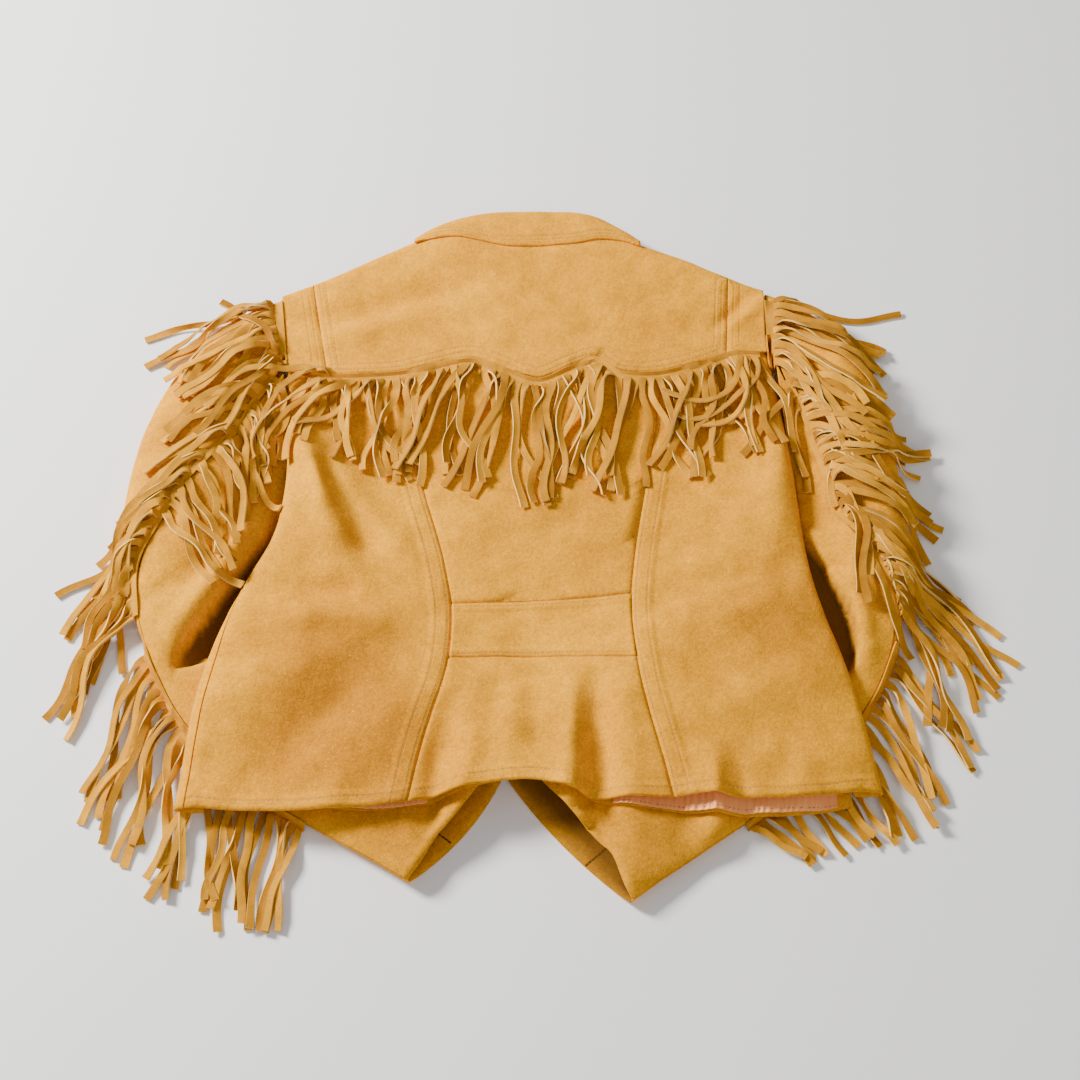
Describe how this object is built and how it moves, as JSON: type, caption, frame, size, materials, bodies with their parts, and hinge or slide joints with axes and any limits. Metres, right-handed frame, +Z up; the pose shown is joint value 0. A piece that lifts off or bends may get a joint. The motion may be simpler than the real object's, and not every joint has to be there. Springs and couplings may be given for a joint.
{
  "type": "fringed buckskin jacket",
  "caption": "Golden-tan fringed buckskin jacket laid face down: scalloped back yoke, long cut fringe on yoke, armholes and sleeves, forearms folded in under the body with the cuffs showing.",
  "frame": {"origin": "middle of the outline seen from above, on the floor that the jacket lies on", "axes": "+Z up from the floor, +Y from the hem towards the collar, +X to the right of someone at the hem who looks towards the collar"},
  "size_m": [0.7708, 0.675, 0.0446],
  "materials": {
    "buckskin": "soft napped golden-tan suede",
    "lining_satin": "salmon satin with a soft sheen"
  },
  "bodies": {
    "root": {"armhole_fringe_left": "buckskin", "armhole_fringe_right": "buckskin", "back_centre_lower": "buckskin", "back_centre_upper": "buckskin", "back_side_left": "buckskin", "back_side_right": "buckskin", "collar": "buckskin", "collar_end_left": "buckskin", "collar_end_right": "buckskin", "forearm_fringe_left": "buckskin", "forearm_fringe_right": "buckskin", "front_left": "buckskin", "front_right": "buckskin", "lining_left": "lining_satin", "lining_right": "lining_satin", "shoulder_strip_left": "buckskin", "shoulder_strip_right": "buckskin", "side_left": "buckskin", "side_right": "buckskin", "sleeve_fringe_left": "buckskin", "sleeve_fringe_right": "buckskin", "sleeve_left_inner": "buckskin", "sleeve_left_outer": "buckskin", "sleeve_right_inner": "buckskin", "sleeve_right_outer": "buckskin", "waistband_inset": "buckskin", "yoke": "buckskin", "yoke_fringe": "buckskin"}
  },
  "joints": []
}
